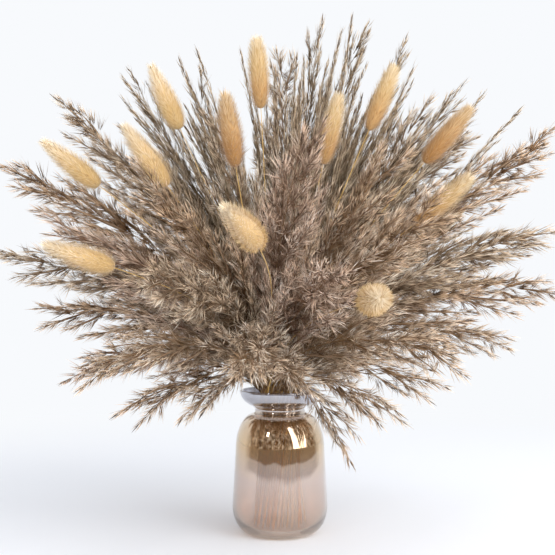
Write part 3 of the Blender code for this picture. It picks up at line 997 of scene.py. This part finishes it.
def room_share(tree, direction):
    """A socket: how far a direction lies on the dim room's side, in front of the bouquet."""
    level = add(tree, "ShaderNodeVectorMath", {0: direction}, operation="NORMALIZE").outputs[0]
    facing = add(tree, "ShaderNodeVectorMath", {0: level, 1: ROOM_DIRECTION}, operation="DOT_PRODUCT")
    turned = {"Value": facing.outputs["Value"], "From Min": ROOM_STARTS[0], "From Max": ROOM_STARTS[1]}
    return add(tree, "ShaderNodeMapRange", turned).outputs[0]


def pale_floor():
    """A matt white table cloth that fades into the backdrop's colour, so that it has no horizon.

    Mirrored rays see more: a painted shadow over the near end of the table, with a ragged edge, as cloth with
    folds has, and beyond that edge the dimmer room in front of it.
    """
    made, tree = new_material("pale_floor")
    mirrored, either = ray_kinds(tree)
    cloth = add(tree, "ShaderNodeBsdfDiffuse", {"Color": linear(FLOOR_CLOTH)})
    spot = add(tree, "ShaderNodeTexCoord").outputs["Object"]
    away = add(tree, "ShaderNodeVectorMath", {0: spot}, operation="LENGTH").outputs["Value"]
    folds = add(tree, "ShaderNodeTexNoise", {"Vector": spot, "Scale": 1.8, "Detail": 3.0})
    wander = {0: folds.outputs["Fac"], 1: RAGGEDNESS, 2: away}
    ragged = add(tree, "ShaderNodeMath", wander, operation="MULTIPLY_ADD").outputs[0]
    # a bluish painted shadow on the near end of the table, seen only in mirrors, and the room past it
    shaded = add(tree, "ShaderNodeValToRGB", {"Fac": ragged}, stops=[(0.70, "#6A7088"), (0.77, ROOM)])
    far = {"Factor": mirrored, FIRST_COLOUR: linear(BACKDROP), SECOND_COLOUR: shaded.outputs["Color"]}
    seen = add(tree, "ShaderNodeMix", far, data_type="RGBA").outputs[MIXED_COLOUR]
    glow = add(tree, "ShaderNodeEmission", {"Color": seen, "Strength": 1.0})
    fading = {"Value": away, "From Min": FADE_START, "From Max": FADE_END, "To Min": 0.0, "To Max": 1.0}
    fade = add(tree, "ShaderNodeMapRange", fading, interpolation_type="SMOOTHSTEP")
    # how much of the cloth the painted shadow, and then the room, cover in mirrors
    shares = [(0.51, "#000000"), (0.58, "#C4C4C4"), (0.72, "#C4C4C4"), (0.76, "#FFFFFF")]
    near_end = add(tree, "ShaderNodeValToRGB", {"Fac": ragged}, stops=shares)
    in_front = {0: near_end.outputs["Color"], 1: room_share(tree, spot)}
    edge = add(tree, "ShaderNodeMath", in_front, operation="MULTIPLY").outputs[0]
    covers = {"Factor": mirrored, FIRST_VALUE: fade.outputs["Result"], SECOND_VALUE: edge}
    blend = add(tree, "ShaderNodeMix", covers)
    share = add(tree, "ShaderNodeMath", {0: blend.outputs[MIXED_VALUE], 1: either}, operation="MULTIPLY")
    both = add(tree, "ShaderNodeMixShader", {0: share.outputs[0], 1: cloth.outputs[0], 2: glow.outputs[0]})
    add(tree, "ShaderNodeOutputMaterial", {"Surface": both.outputs[0]})
    return made


def build_floor():
    """One flat round face under the vase's foot, far wider than its fade into the backdrop."""
    angles = np.linspace(0.0, math.tau, FLOOR_SIDES, endpoint=False)
    level = np.zeros(FLOOR_SIDES)
    points = np.stack([FLOOR_RADIUS * np.cos(angles), FLOOR_RADIUS * np.sin(angles), level], axis=1)
    data = bpy.data.meshes.new("floor")
    data.from_pydata(points.tolist(), [], [list(range(FLOOR_SIDES))])
    data.materials.append(pale_floor())
    floor = bpy.data.objects.new("floor", data)
    bpy.context.scene.collection.objects.link(floor)


def build_world():
    """Soft daylight from all round, seen as a pale backdrop, and in mirrors with the dim room in front."""
    world = bpy.data.worlds.new("soft_daylight")
    bpy.context.scene.world = world
    world.use_nodes = True
    tree = world.node_tree
    tree.nodes.clear()
    mirrored, either = ray_kinds(tree)
    way = add(tree, "ShaderNodeTexCoord").outputs["Generated"]
    clutter = {"Vector": way, "Scale": 7.0, "Detail": 6.0, "Roughness": 0.65}
    furniture = add(tree, "ShaderNodeTexNoise", clutter)
    tones = [(0.38, "#4C3A30"), (0.5, ROOM), (0.62, "#DAD6D4")]
    dim = add(tree, "ShaderNodeValToRGB", {"Fac": furniture.outputs["Fac"]}, stops=tones)
    share = room_share(tree, way)
    sides = {"Factor": share, FIRST_COLOUR: linear(BACKDROP), SECOND_COLOUR: dim.outputs["Color"]}
    room = add(tree, "ShaderNodeMix", sides, data_type="RGBA").outputs[MIXED_COLOUR]
    lit = add(tree, "ShaderNodeBackground", {"Color": linear(SKYLIGHT), "Strength": 0.95})
    wall = add(tree, "ShaderNodeBackground", {"Color": linear(BACKDROP), "Strength": 1.0})
    indoors = add(tree, "ShaderNodeBackground", {"Color": room, "Strength": 1.0})
    seen = add(tree, "ShaderNodeMixShader", {0: mirrored, 1: wall.outputs[0], 2: indoors.outputs[0]})
    both = add(tree, "ShaderNodeMixShader", {0: either, 1: lit.outputs[0], 2: seen.outputs[0]})
    add(tree, "ShaderNodeOutputWorld", {"Surface": both.outputs[0]})


def window(name, place, aim, width, height, power):
    """A soft rectangular lamp at a place, turned to face another place, with its power in watts."""
    light = bpy.data.lights.new(name, "AREA")
    light.shape = "RECTANGLE"
    light.size = width
    light.size_y = height
    light.energy = power
    made = bpy.data.objects.new(name, light)
    made.location = place
    made.rotation_euler = (Vector(aim) - Vector(place)).to_track_quat("-Z", "Y").to_euler()
    bpy.context.scene.collection.objects.link(made)
    return made


def build_camera():
    """A little below the bouquet's middle, about arm's length away, looking very slightly up."""
    data = bpy.data.cameras.new("camera")
    data.sensor_width = SENSOR_WIDTH
    data.lens = LENS
    made = bpy.data.objects.new("camera", data)
    made.location = CAMERA_PLACE
    aim = Vector(CAMERA_AIM) - Vector(CAMERA_PLACE)
    made.rotation_euler = aim.to_track_quat("-Z", "Y").to_euler()
    bpy.context.scene.collection.objects.link(made)
    bpy.context.scene.camera = made


build_camera()
build_floor()
build_world()
window("window_right", (1.3, -1.0, 0.9), (0.0, 0.0, 0.2), 1.3, 1.8, 25.0)
pale_wall = window("pale_wall_in_front", (0.3, -1.8, 0.36), (0.0, 0.0, 0.15), 2.4, 0.7, 24.0)
pale_wall.visible_glossy = False
window("window_left", (-0.9, -1.3, 0.95), (0.0, 0.0, 0.1), 0.16, 0.3, 1.8)
bpy.context.scene.view_settings.view_transform = "Standard"
